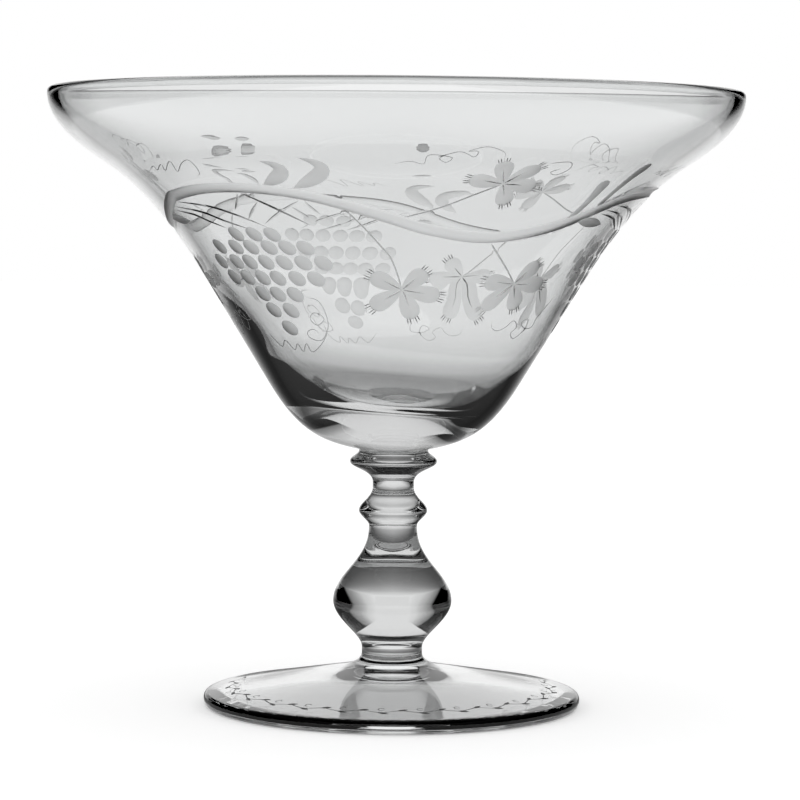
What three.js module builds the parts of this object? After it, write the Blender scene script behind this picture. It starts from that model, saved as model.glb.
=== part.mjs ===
// A footed fruit bowl of clear glass: a flared bowl on a knopped stem and a spreading foot.
// The glassmaker fuses five hot gathers, so the model has five solids stacked on one axis.
// Millimetres, +Z up, with the origin at the centre of the plane that the foot stands on.
import * as THREE from "three";

// Foot: a disc with a rounded edge, a gently coned top and an underside hollowed to follow it.
const FOOT_RADIUS = 60;
const FOOT_EDGE_THICKNESS = 4.5;
const FOOT_EDGE_ROUNDING = 1.9;
const FOOT_SHOULDER_RADIUS = 17.7;
const FOOT_SHOULDER_HEIGHT = 12;
const FOOT_POST_HEIGHT = 4.9;
const REST_RING_WIDTH = 3.5;
const HOLLOW_RISE = 7.4;
const PONTIL_RADIUS = 9;

// Baluster knop: the large swelling of the stem.
const BALUSTER_HEIGHT = 40.1;
const BALUSTER_RADIUS = 18.9;
const BALUSTER_WIDEST_HEIGHT = 16.7;
const BALUSTER_NECK_HEIGHT = 1.8;
const STEM_BASE_RADIUS = 9.6;

// Ring knop: the small bladed ring between two necks.
const RING_KNOP_HEIGHT = 13.6;
const RING_KNOP_RADIUS = 10.9;
const RING_KNOP_WIDEST_HEIGHT = 5.4;
const RING_KNOP_NECK_HEIGHT = 0.8;
const LOWER_NECK_RADIUS = 7.7;
const UPPER_NECK_RADIUS = 6.6;

// Merese: the flanged wafer that carries the bowl.
const MERESE_HEIGHT = 11.4;
const MERESE_RADIUS = 13.9;
const MERESE_WIDEST_HEIGHT = 7.6;
const MERESE_NECK_HEIGHT = 0.9;
const BOWL_SEAT_RADIUS = 11.1;
const BOWL_SEAT_RISE = 0.6;

// Bowl: a solid base, a straight cone, a flare and an upturned lip. Heights are above its seat.
const BOWL_HEIGHT = 113.7;
const RIM_RADIUS = 110;
const WALL = 3.5;
const CONE_FOOT_RADIUS = 39.7;
const CONE_FOOT_HEIGHT = 20.8;
const CONE_TOP_RADIUS = 61.3;
const CONE_TOP_HEIGHT = 56.3;
const FLARE_RADIUS = 90.6;
const FLARE_HEIGHT = 89.4;
const FLOOR_HEIGHT = 16.5;
const FLOOR_RADIUS = 28;
const FLOOR_CORNER_RISE = 14;

// Directions of the outlines, as run and rise.
const UPRIGHT = new THREE.Vector2(0, 1);
const LEVEL = new THREE.Vector2(1, 0);
const INWARD = new THREE.Vector2(-1, 0);
const BOWL_SEAT_SLOPE = new THREE.Vector2(1, 0.22).normalize();
const FLARE_SLOPE = new THREE.Vector2(1.5, 1).normalize();

// How full each curve is where it starts and where it ends, as shares of its reach.
const HOLLOW_FULLNESS = [0.2, 0.5];
const POST_FULLNESS = [1, 0.5];
const BALUSTER_LOWER_FULLNESS = [0.28, 0.4];
const BALUSTER_UPPER_FULLNESS = [0.36, 0.46];
const RING_KNOP_LOWER_FULLNESS = [0.26, 0.33];
const RING_KNOP_UPPER_FULLNESS = [0.33, 0.45];
const MERESE_LOWER_FULLNESS = [0.58, 0.36];
const MERESE_UPPER_FULLNESS = [0.43, 0.31];
const BOWL_BASE_FULLNESS = [0.4, 0.66];
const FLARE_FULLNESS = [0.3, 0.47];
const LIP_FULLNESS = [0.32, 0.43];
const FLOOR_CORNER_FULLNESS = [0.38, 0.24];

// How finely the outlines are drawn.
const WIDE_SEGMENTS = 64;
const STEM_SEGMENTS = 36;
const CURVE_STEPS = 8;
const CONE_STEPS = 3;
const HOLLOW_STEPS = 5;
const ROUNDING_STEPS = 4;
const CLOSEST_POINTS = 1e-3;

const CLEAR_GLASS = { color: 0xeef2f1, roughness: 0.02, metalness: 0, transparent: true, opacity: 0.35 };

// A point of an outline: its distance from the axis and its height.
function at(radius, height) {
  return new THREE.Vector2(radius, height);
}

// Points of a cubic curve that leaves its start and arrives at its end along the given directions.
function curve(start, leaving, end, arriving, reach, fullness, steps = CURVE_STEPS) {
  const [startShare, endShare] = fullness;
  const afterStart = start.clone().addScaledVector(leaving, reach * startShare);
  const beforeEnd = end.clone().addScaledVector(arriving, -reach * endShare);
  return new THREE.CubicBezierCurve(start, afterStart, beforeEnd, end).getPoints(steps);
}

// Points of a swelling that is upright at its lower and its upper end.
function swell(low, high, fullness) {
  return curve(low, UPRIGHT, high, UPRIGHT, high.y - low.y, fullness);
}

// Points of an arc about a centre, from one angle to another in quarter turns from the level.
function arc(centre, size, fromQuarter, toQuarter) {
  const quarter = Math.PI / 2;
  return Array.from({ length: ROUNDING_STEPS + 1 }, (_, step) => {
    const angle = quarter * (fromQuarter + ((toQuarter - fromQuarter) * step) / ROUNDING_STEPS);
    return at(centre.x + size * Math.cos(angle), centre.y + size * Math.sin(angle));
  });
}

// The point of a rising outline at a height, found between the two points around it.
function pointAtHeight(outline, height) {
  const next = outline.findIndex((point) => point.y > height);
  const below = outline[next - 1];
  const above = outline[next];
  return below.clone().lerp(above, (height - below.y) / (above.y - below.y));
}

// Leaves out each point that repeats the one before it.
function withoutRepeats(points) {
  return points.filter((point, index) => {
    return index === 0 || point.distanceTo(points[index - 1]) > CLOSEST_POINTS;
  });
}

// A named solid turned about the upright axis from a profile that runs up its outside.
function turned(name, profile, segments, height) {
  const geometry = new THREE.LatheGeometry(withoutRepeats(profile), segments);
  geometry.rotateX(Math.PI / 2);
  const mesh = new THREE.Mesh(geometry, new THREE.MeshStandardMaterial(CLEAR_GLASS));
  mesh.name = name;
  mesh.position.z = height;
  return mesh;
}

// The foot stands on a narrow flat ring and rises to the post that the stem is fused to.
function footProfile() {
  const edgeRadius = FOOT_RADIUS - FOOT_EDGE_ROUNDING;
  const restInner = at(edgeRadius - REST_RING_WIDTH, 0);
  const pontilEdge = at(PONTIL_RADIUS, HOLLOW_RISE);
  const edgeTop = at(edgeRadius, FOOT_EDGE_THICKNESS);
  const shoulder = at(FOOT_SHOULDER_RADIUS, FOOT_SHOULDER_HEIGHT);
  const slope = shoulder.clone().sub(edgeTop).normalize();
  const downOutwards = slope.clone().negate();
  const post = at(STEM_BASE_RADIUS, FOOT_SHOULDER_HEIGHT + FOOT_POST_HEIGHT);
  const hollowReach = restInner.x - PONTIL_RADIUS;
  const lowerRounding = at(edgeRadius, FOOT_EDGE_ROUNDING);
  const upperRounding = at(edgeRadius, FOOT_EDGE_THICKNESS - FOOT_EDGE_ROUNDING);
  return [
    at(0, HOLLOW_RISE),
    ...curve(pontilEdge, LEVEL, restInner, downOutwards, hollowReach, HOLLOW_FULLNESS, HOLLOW_STEPS),
    ...arc(lowerRounding, FOOT_EDGE_ROUNDING, -1, 0),
    ...arc(upperRounding, FOOT_EDGE_ROUNDING, 0, 1),
    ...curve(shoulder, slope, post, UPRIGHT, FOOT_POST_HEIGHT, POST_FULLNESS),
    at(0, post.y),
  ];
}

// The baluster swells from the post and draws in to the neck under the ring.
function balusterProfile() {
  const neck = at(STEM_BASE_RADIUS, BALUSTER_NECK_HEIGHT);
  const widest = at(BALUSTER_RADIUS, BALUSTER_WIDEST_HEIGHT);
  const top = at(LOWER_NECK_RADIUS, BALUSTER_HEIGHT);
  return [
    at(0, 0),
    at(STEM_BASE_RADIUS, 0),
    ...swell(neck, widest, BALUSTER_LOWER_FULLNESS),
    ...swell(widest, top, BALUSTER_UPPER_FULLNESS),
    at(0, BALUSTER_HEIGHT),
  ];
}

// The ring knop stands between the lower and the upper neck.
function ringKnopProfile() {
  const lowerNeck = at(LOWER_NECK_RADIUS, RING_KNOP_NECK_HEIGHT);
  const widest = at(RING_KNOP_RADIUS, RING_KNOP_WIDEST_HEIGHT);
  const upperNeck = at(UPPER_NECK_RADIUS, RING_KNOP_HEIGHT - RING_KNOP_NECK_HEIGHT);
  return [
    at(0, 0),
    at(LOWER_NECK_RADIUS, 0),
    ...swell(lowerNeck, widest, RING_KNOP_LOWER_FULLNESS),
    ...swell(widest, upperNeck, RING_KNOP_UPPER_FULLNESS),
    at(UPPER_NECK_RADIUS, RING_KNOP_HEIGHT),
    at(0, RING_KNOP_HEIGHT),
  ];
}

// The merese spreads from the upper neck to its flange and narrows to the bowl's seat.
function mereseProfile() {
  const neck = at(UPPER_NECK_RADIUS, MERESE_NECK_HEIGHT);
  const widest = at(MERESE_RADIUS, MERESE_WIDEST_HEIGHT);
  const seat = at(BOWL_SEAT_RADIUS, MERESE_HEIGHT - BOWL_SEAT_RISE);
  return [
    at(0, 0),
    at(UPPER_NECK_RADIUS, 0),
    ...swell(neck, widest, MERESE_LOWER_FULLNESS),
    ...swell(widest, seat, MERESE_UPPER_FULLNESS),
    at(BOWL_SEAT_RADIUS, MERESE_HEIGHT),
    at(0, MERESE_HEIGHT),
  ];
}

// The bowl's outside, from the seat up to the start of the lip's rounding.
function bowlOutside() {
  const seat = at(BOWL_SEAT_RADIUS, 0);
  const coneFoot = at(CONE_FOOT_RADIUS, CONE_FOOT_HEIGHT);
  const coneTop = at(CONE_TOP_RADIUS, CONE_TOP_HEIGHT);
  const flare = at(FLARE_RADIUS, FLARE_HEIGHT);
  const lip = at(RIM_RADIUS, BOWL_HEIGHT - WALL / 2);
  const coneSlope = coneTop.clone().sub(coneFoot).normalize();
  const baseReach = CONE_FOOT_RADIUS - BOWL_SEAT_RADIUS;
  const flareReach = FLARE_HEIGHT - CONE_TOP_HEIGHT;
  const lipReach = BOWL_HEIGHT - FLARE_HEIGHT;
  return withoutRepeats([
    ...curve(seat, BOWL_SEAT_SLOPE, coneFoot, coneSlope, baseReach, BOWL_BASE_FULLNESS),
    ...new THREE.LineCurve(coneFoot, coneTop).getPoints(CONE_STEPS),
    ...curve(coneTop, coneSlope, flare, FLARE_SLOPE, flareReach, FLARE_FULLNESS),
    ...curve(flare, FLARE_SLOPE, lip, UPRIGHT, lipReach, LIP_FULLNESS),
  ]);
}

// The bowl's inside, from the lip down to the floor: the outside moved in by the wall,
// as far as the floor's corner, which thickens the wall into the solid base.
function bowlInside(outside) {
  const moved = outside.map((point, index) => {
    const before = outside[Math.max(index - 1, 0)];
    const after = outside[Math.min(index + 1, outside.length - 1)];
    const along = after.clone().sub(before).normalize();
    return at(point.x - along.y * WALL, point.y + along.x * WALL);
  });
  const cornerHeight = FLOOR_HEIGHT + FLOOR_CORNER_RISE;
  const wall = moved.filter((point) => point.y > cornerHeight).reverse();
  const corner = pointAtHeight(moved, cornerHeight);
  const down = corner.clone().sub(wall[wall.length - 1]).normalize();
  const floorEdge = at(FLOOR_RADIUS, FLOOR_HEIGHT);
  const cornerReach = corner.x - FLOOR_RADIUS;
  return [
    ...wall,
    ...curve(corner, down, floorEdge, INWARD, cornerReach, FLOOR_CORNER_FULLNESS),
    at(0, FLOOR_HEIGHT),
  ];
}

// The bowl's whole profile: seat, outside, rounded lip and inside.
function bowlProfile() {
  const outside = bowlOutside();
  const lipRounding = WALL / 2;
  const lip = arc(at(RIM_RADIUS - lipRounding, BOWL_HEIGHT - lipRounding), lipRounding, 0, 2);
  return [at(0, 0), ...outside, ...lip, ...bowlInside(outside).slice(1)];
}

const balusterSeat = FOOT_SHOULDER_HEIGHT + FOOT_POST_HEIGHT;
const ringKnopSeat = balusterSeat + BALUSTER_HEIGHT;
const mereseSeat = ringKnopSeat + RING_KNOP_HEIGHT;
const bowlSeat = mereseSeat + MERESE_HEIGHT;

const fruitBowl = new THREE.Group();
fruitBowl.add(
  turned("foot", footProfile(), WIDE_SEGMENTS, 0),
  turned("baluster_knop", balusterProfile(), STEM_SEGMENTS, balusterSeat),
  turned("ring_knop", ringKnopProfile(), STEM_SEGMENTS, ringKnopSeat),
  turned("merese", mereseProfile(), STEM_SEGMENTS, mereseSeat),
  turned("bowl", bowlProfile(), WIDE_SEGMENTS, bowlSeat),
);

export default fruitBowl;
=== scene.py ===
"""A footed fruit bowl of clear glass with an engraved grapevine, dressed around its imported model.

The sizes of the glass are in millimetres, as the glassmaker has them, and become metres when a mesh is made.
"""

import logging
import math
from bisect import bisect_right
from dataclasses import dataclass, replace
from enum import Enum
from itertools import accumulate

import bmesh
import bpy
from mathutils import Matrix, Vector
from mathutils.geometry import interpolate_bezier

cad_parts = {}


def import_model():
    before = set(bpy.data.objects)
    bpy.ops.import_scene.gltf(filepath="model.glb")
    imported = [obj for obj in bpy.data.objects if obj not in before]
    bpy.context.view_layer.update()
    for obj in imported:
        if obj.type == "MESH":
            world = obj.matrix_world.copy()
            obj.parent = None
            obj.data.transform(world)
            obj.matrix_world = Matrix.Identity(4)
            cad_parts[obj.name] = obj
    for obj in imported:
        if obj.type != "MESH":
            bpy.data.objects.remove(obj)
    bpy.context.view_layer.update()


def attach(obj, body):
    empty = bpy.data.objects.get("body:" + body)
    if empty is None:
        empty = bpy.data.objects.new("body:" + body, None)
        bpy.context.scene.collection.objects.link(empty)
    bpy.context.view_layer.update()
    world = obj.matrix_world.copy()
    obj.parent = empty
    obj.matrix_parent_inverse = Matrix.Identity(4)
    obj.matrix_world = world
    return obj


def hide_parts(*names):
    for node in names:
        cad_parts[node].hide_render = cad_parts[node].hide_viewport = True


LOG = logging.getLogger("fruit_bowl")

METRES_PER_MM = 0.001
BODY = "root"
UPRIGHT = Vector((0, 0, 1))
LEVEL = Vector((1, 0, 0))
INWARD = Vector((-1, 0, 0))
# The distance at which points are one, in millimetres and in metres.
CLOSEST_POINTS = 1e-3
CLOSEST_VERTS = 1e-6
# Each piece is turned in this many sectors.
SECTORS = 8
# The gap in millimetres between the cuts that the wheel takes out in one pass.
PASS_GAP = 0.1
# No section of a groove is thinner than this share of its full width.
THINNEST_SHARE = 0.04

Point = Vector
Outline = list[Vector]
Place = tuple[float, float]
Line = tuple[Place, ...]
Fullness = tuple[float, float]
Stops = tuple[tuple[float, float], ...]
Triple = tuple[float, float, float]


class Finish(Enum):
    """The finishes of the glass, in the order of each piece's material slots."""

    CLEAR = 0
    GROUND = 1
    BRIGHT = 2
    FUSED = 3


class Form(Enum):
    """How the width of a groove changes along it."""

    OLIVE = "olive"
    LOBE = "lobe"
    CRESCENT = "crescent"
    CLUB = "club"
    LINE = "line"
    RIB = "rib"
    RING = "ring"

    def share(self, t: float) -> float:
        """The share of the full width at a place along the groove.

        Args:
            t: The place, from 0 at the start to 1 at the end.

        Returns:
            The share, never quite nothing, so that each section keeps its shape.
        """
        shares = {
            Form.OLIVE: 4 * t * (1 - t),
            Form.LOBE: 1.25 * t**0.6 * math.sqrt(max(0, 1 - t**4)),
            Form.CRESCENT: max(0, math.sin(math.pi * t**1.1)) ** 0.9,
            Form.CLUB: (0.45 + 0.55 * t**2) * math.sqrt(max(0, 1 - max(0, (t - 0.8) / 0.2) ** 2)),
            Form.LINE: min(1, 12 * t, 12 * (1 - t)),
            Form.RIB: min(1, 8 * t, 1.6 * (1 - t)),
            Form.RING: 1,
        }
        return max(THINNEST_SHARE, min(1, shares[self]))


def at(radius: float, height: float) -> Point:
    """A point of an outline, from its distance to the axis and its height."""
    return Vector((radius, 0, height))


def slope(run: float, rise: float) -> Vector:
    """The direction of an outline that runs outwards and rises by these shares."""
    return at(run, rise).normalized()


def curve(
    start: Point,
    leaving: Vector,
    end: Point,
    arriving: Vector,
    reach: float,
    fullness: Fullness,
    steps: int = 24,
) -> Outline:
    """Draws a cubic curve that leaves its start and arrives at its end along given directions.

    Args:
        start: Where the curve starts.
        leaving: Its direction there.
        end: Where it ends.
        arriving: Its direction there.
        reach: The length that the fullness is a share of.
        fullness: How far the curve keeps each direction.
        steps: The number of stretches between its points.

    Returns:
        The curve's points.
    """
    after_start = start + leaving * (reach * fullness[0])
    before_end = end - arriving * (reach * fullness[1])
    return interpolate_bezier(start, after_start, before_end, end, steps + 1)


def swell(low: Point, high: Point, fullness: Fullness) -> Outline:
    """Draws a swelling that is upright at its lower and its upper end."""
    return curve(low, UPRIGHT, high, UPRIGHT, high.z - low.z, fullness)


def arc(centre: Point, size: float, from_quarter: float, to_quarter: float, steps: int = 10) -> Outline:
    """Draws an arc about a centre.

    Args:
        centre: The centre.
        size: The radius.
        from_quarter: Where the arc starts, in quarter turns from the level.
        to_quarter: Where it ends.
        steps: The number of stretches between its points.

    Returns:
        The arc's points.
    """
    quarters = [from_quarter + (to_quarter - from_quarter) * i / steps for i in range(steps + 1)]
    angles = [math.pi / 2 * quarter for quarter in quarters]
    return [centre + at(size * math.cos(angle), size * math.sin(angle)) for angle in angles]


def without_repeats(points: Outline) -> Outline:
    """Leaves out each point that repeats the one before it.

    Args:
        points: The points of an outline.

    Returns:
        The points that are left.
    """
    kept = [points[0]]
    for point in points[1:]:
        if (point - kept[-1]).length > CLOSEST_POINTS:
            kept.append(point)
    return kept


def directions(outline: Outline) -> list[Vector]:
    """The direction of an outline at each of its points."""
    last = len(outline) - 1
    return [(outline[min(i + 1, last)] - outline[max(i - 1, 0)]).normalized() for i in range(last + 1)]


def lengths_along(line: Outline) -> list[float]:
    """The length of a line up to each of its points."""
    return [0.0, *accumulate((b - a).length for a, b in zip(line, line[1:]))]


def between(marks: list[float], value: float) -> tuple[int, float]:
    """Finds where a value lies among rising marks.

    Args:
        marks: The marks.
        value: The value.

    Returns:
        The number of the mark after the value, and the share of the way to it from the mark before.
    """
    i = min(max(bisect_right(marks, value), 1), len(marks) - 1)
    return i, (value - marks[i - 1]) / (marks[i] - marks[i - 1])


def add_object(name: str, mesh: bmesh.types.BMesh) -> bpy.types.Object:
    """Puts a finished mesh into the scene as an object.

    Args:
        name: The object's name.
        mesh: The mesh, which is freed.

    Returns:
        The object.
    """
    data = bpy.data.meshes.new(name)
    mesh.to_mesh(data)
    mesh.free()
    item = bpy.data.objects.new(name, data)
    bpy.context.scene.collection.objects.link(item)
    return item


class TurnedSurface:
    """The outside of a turned piece, on which cuts are laid out by azimuth and height."""

    def __init__(self, outline: Outline) -> None:
        """Measures the outline.

        Args:
            outline: The outline, which runs upwards, in millimetres above the floor.
        """
        self.points = outline
        self.ways = directions(outline)
        self.lengths = lengths_along(outline)
        self.heights = [point.z for point in outline]

    def along(self, height: float) -> float:
        """The length of the outline up to a height."""
        i, share = between(self.heights, height)
        return self.lengths[i - 1] + share * (self.lengths[i] - self.lengths[i - 1])

    def section(self, along: float) -> tuple[Point, Vector]:
        """Finds a place on the outline.

        Args:
            along: The length up the outline.

        Returns:
            The point there, and the direction out of the glass.
        """
        i, share = between(self.lengths, along)
        way = self.ways[i - 1].lerp(self.ways[i], share).normalized()
        return self.points[i - 1].lerp(self.points[i], share), Vector((way.z, 0, -way.x))

    def offset(self, start: Place, end: Place) -> Vector:
        """Measures the way from one place to another on the surface.

        Args:
            start: The first place.
            end: The other place.

        Returns:
            The way, in millimetres across and up.
        """
        radius = self.section(self.along(start[1]))[0].x
        across = math.radians(end[0] - start[0]) * radius
        return Vector((across, self.along(end[1]) - self.along(start[1]), 0))

    def moved(self, start: Place, way: Vector) -> Place:
        """Finds the place that lies some way from another.

        Args:
            start: The first place.
            way: The way, in millimetres across and up.

        Returns:
            The place.
        """
        radius = self.section(self.along(start[1]))[0].x
        height = self.section(self.along(start[1]) + way.y)[0].z
        return (start[0] + math.degrees(way.x / radius), height)

    def place(self, azimuth: float, along: float, out: float) -> Vector:
        """A point near the surface.

        Args:
            azimuth: The angle from the front, in radians, to the right.
            along: The length up the outline.
            out: The distance out of the surface.

        Returns:
            The point, in millimetres.
        """
        point, normal = self.section(along)
        spot = point + normal * out
        return Vector((spot.x * math.sin(azimuth), -spot.x * math.cos(azimuth), spot.z))


@dataclass(frozen=True)
class Cut:
    """What the wheel takes out of the glass at one place, drawn flat and then laid on the surface.

    Attributes:
        line: The azimuths, in degrees, and heights that the cut passes through.
        width: The width where it is widest.
        depth: The depth there.
        finish: The finish that it leaves.
    """

    line: Line
    width: float
    depth: float
    finish: Finish = Finish.GROUND

    def turned(self, angle: float) -> "Cut":
        """The same cut, further round the glass."""
        return replace(self, line=tuple((azimuth + angle, height) for azimuth, height in self.line))

    def shape(self, flat: Outline) -> bmesh.types.BMesh:
        """Makes the body that is taken out, on a flat sheet, from the flat points of the line."""
        raise NotImplementedError

    def body(self, surface: TurnedSurface) -> bmesh.types.BMesh:
        """Makes the body that is taken out and bends it onto the surface.

        Args:
            surface: The surface that is cut.

        Returns:
            The body, in millimetres.
        """
        azimuths = [azimuth for azimuth, _ in self.line]
        heights = [height for _, height in self.line]
        middle = math.radians((min(azimuths) + max(azimuths)) / 2)
        base = surface.along(sum(heights) / len(heights))
        radius = surface.section(base)[0].x
        flat = [
            Vector((radius * (math.radians(azimuth) - middle), surface.along(height) - base, 0))
            for azimuth, height in self.line
        ]
        mesh = self.shape(flat)
        for vert in mesh.verts:
            spot = vert.co
            vert.co = surface.place(middle + spot.x / radius, base + spot.y, spot.z)
        bmesh.ops.recalc_face_normals(mesh, faces=mesh.faces[:])
        for face in mesh.faces:
            face.material_index = self.finish.value
        return mesh

    def rise(self) -> float:
        """How far the cutting wheel's middle stands off the surface."""
        return self.depth

    def spread(self) -> float:
        """Half the width of the wheel's section, which is wider off the surface than at it."""
        return self.width / math.sqrt(3)


@dataclass(frozen=True)
class Dimple(Cut):
    """A round cut, such as a grape: an ellipse that leans to the left.

    Attributes:
        length: The ellipse's longer axis.
        lean: The angle of that axis.
    """

    length: float = 6.2
    lean: float = math.radians(-35)

    def shape(self, flat: Outline) -> bmesh.types.BMesh:
        """Makes a flattened ball.

        Args:
            flat: The grape's middle, as the only point of its line.

        Returns:
            The ball, on a flat sheet.
        """
        mesh = bmesh.new()
        size = Matrix.Diagonal((self.length / math.sqrt(3), self.spread(), 2 * self.depth, 1))
        bed = Matrix.Translation(flat[0] + UPRIGHT * self.rise()) @ Matrix.Rotation(self.lean, 4, "Z") @ size
        bmesh.ops.create_icosphere(mesh, subdivisions=3, radius=1, matrix=bed)
        return mesh


@dataclass(frozen=True)
class Groove(Cut):
    """A cut along a line.

    Attributes:
        form: How its width changes along it.
        step: The distance between its sections.
        sides: The number of facets of a section.
        fewest: The fewest stretches between its sections.
    """

    form: Form = Form.OLIVE
    step: float = 0.9
    sides: int = 12
    fewest: int = 10

    def stations(self, flat: Outline) -> tuple[list[Vector], list[float]]:
        """Spreads sections along the line, closer together at its ends.

        Args:
            flat: The flat points of the line.

        Returns:
            The sections' middles and their places, from 0 to 1.
        """
        line = flowing(flat)
        lengths = lengths_along(line)
        count = max(self.fewest, round(lengths[-1] / self.step))
        spots, places = [], []
        for i in range(count + 1):
            t = i / count
            if self.form not in (Form.RING, Form.LINE):
                t = (1 - math.cos(math.pi * t)) / 2
            j, share = between(lengths, t * lengths[-1])
            spots.append(line[j - 1].lerp(line[j], share))
            places.append(t)
        return spots, places

    def shape(self, flat: Outline) -> bmesh.types.BMesh:
        """Sweeps the wheel's section along the line.

        Args:
            flat: The flat points of the line.

        Returns:
            The swept body, on a flat sheet.
        """
        spots, places = self.stations(flat)
        ways = directions(spots)
        if self.form is Form.RING:
            ways[0] = ways[-1] = LEVEL
        mesh = bmesh.new()
        ring = bmesh.ops.create_circle(mesh, segments=self.sides, radius=1)["verts"]
        before = Matrix()
        edges = mesh.edges[:]
        if self.form is not Form.RING:
            bmesh.ops.contextual_create(mesh, geom=edges)
        for spot, way, t in zip(spots, ways, places):
            share = self.form.share(t)
            across = Vector((-way.y, way.x, 0)) * self.spread() * share
            up = UPRIGHT * 2 * self.depth * share
            middle = spot + UPRIGHT * self.rise() * share
            bed = Matrix.Translation(middle) @ Matrix((across, up, way)).transposed().to_4x4()
            if t > 0:
                made = bmesh.ops.extrude_edge_only(mesh, edges=edges)["geom"]
                ring = [item for item in made if isinstance(item, bmesh.types.BMVert)]
                edges = [item for item in made if isinstance(item, bmesh.types.BMEdge)]
                edges = [edge for edge in edges if all(vert in ring for vert in edge.verts)]
            bmesh.ops.transform(mesh, matrix=bed @ before.inverted(), verts=ring)
            before = bed
        if self.form is not Form.RING:
            bmesh.ops.contextual_create(mesh, geom=edges)
        return mesh


def flowing(points: Outline, steps: int = 12) -> Outline:
    """Draws a smooth line through points.

    Args:
        points: The points.
        steps: The number of stretches between two of them.

    Returns:
        The line's points.
    """
    if len(points) < 3:
        return points
    last = len(points) - 1
    line = [points[0]]
    for i, (start, end) in enumerate(zip(points, points[1:])):
        before, after = points[max(i - 1, 0)], points[min(i + 2, last)]
        leaving = start + (end - before) / 6
        arriving = end - (after - start) / 6
        line += interpolate_bezier(start, leaving, arriving, end, steps + 1)[1:]
    return line


class Engraver:
    """Takes cuts out of a piece, in as few passes as keep overlapping cuts apart."""

    def __init__(self, surface: TurnedSurface) -> None:
        """Starts with no cuts.

        Args:
            surface: The surface that is cut.
        """
        self.surface = surface
        self.passes: list[bmesh.types.BMesh] = []
        self.boxes: list[list[tuple[Vector, Vector]]] = []

    def add(self, cut: Cut) -> None:
        """Puts a cut into the first pass where it is clear of the others.

        Args:
            cut: The cut.
        """
        body = cut.body(self.surface)
        spots = [vert.co for vert in body.verts]
        low = Vector([min(axis) for axis in zip(*spots)])
        high = Vector([max(axis) for axis in zip(*spots)])
        for i, boxes in enumerate(self.boxes):
            if not any(overlap(low, high, *box) for box in boxes):
                break
        else:
            i = len(self.boxes)
            self.boxes.append([])
            self.passes.append(bmesh.new())
        self.boxes[i].append((low, high))
        data = bpy.data.meshes.new("cut")
        body.to_mesh(data)
        body.free()
        self.passes[i].from_mesh(data)
        bpy.data.meshes.remove(data)

    def carve(self, piece: bpy.types.Object) -> None:
        """Takes every pass out of the piece.

        Args:
            piece: The uncut piece, whose mesh is replaced.
        """
        wheels = []
        for i, body in enumerate(self.passes):
            bmesh.ops.scale(body, verts=body.verts[:], vec=[METRES_PER_MM] * 3)
            bmesh.ops.remove_doubles(body, verts=body.verts[:], dist=CLOSEST_VERTS)
            bmesh.ops.recalc_face_normals(body, faces=body.faces[:])
            wheel = add_object(f"pass_{i}", body)
            for material in piece.data.materials:
                wheel.data.materials.append(material)
            wheels.append(wheel)
            cutting = piece.modifiers.new(wheel.name, "BOOLEAN")
            cutting.operation = "DIFFERENCE"
            cutting.object = wheel
            cutting.solver = "MANIFOLD"
            cutting.material_mode = "INDEX"
        uncut = piece.data
        shown = piece.evaluated_get(bpy.context.evaluated_depsgraph_get())
        piece.data = bpy.data.meshes.new_from_object(shown)
        piece.modifiers.clear()
        bpy.data.meshes.remove(uncut)
        for wheel in wheels:
            bpy.data.meshes.remove(wheel.data)
        LOG.info("%s: %d passes of the wheel", piece.name, len(wheels))


def overlap(low: Vector, high: Vector, other_low: Vector, other_high: Vector) -> bool:
    """Whether two boxes come closer than the gap that one pass leaves between its cuts."""
    return all(low[i] < other_high[i] + PASS_GAP and other_low[i] < high[i] + PASS_GAP for i in range(3))


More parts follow.
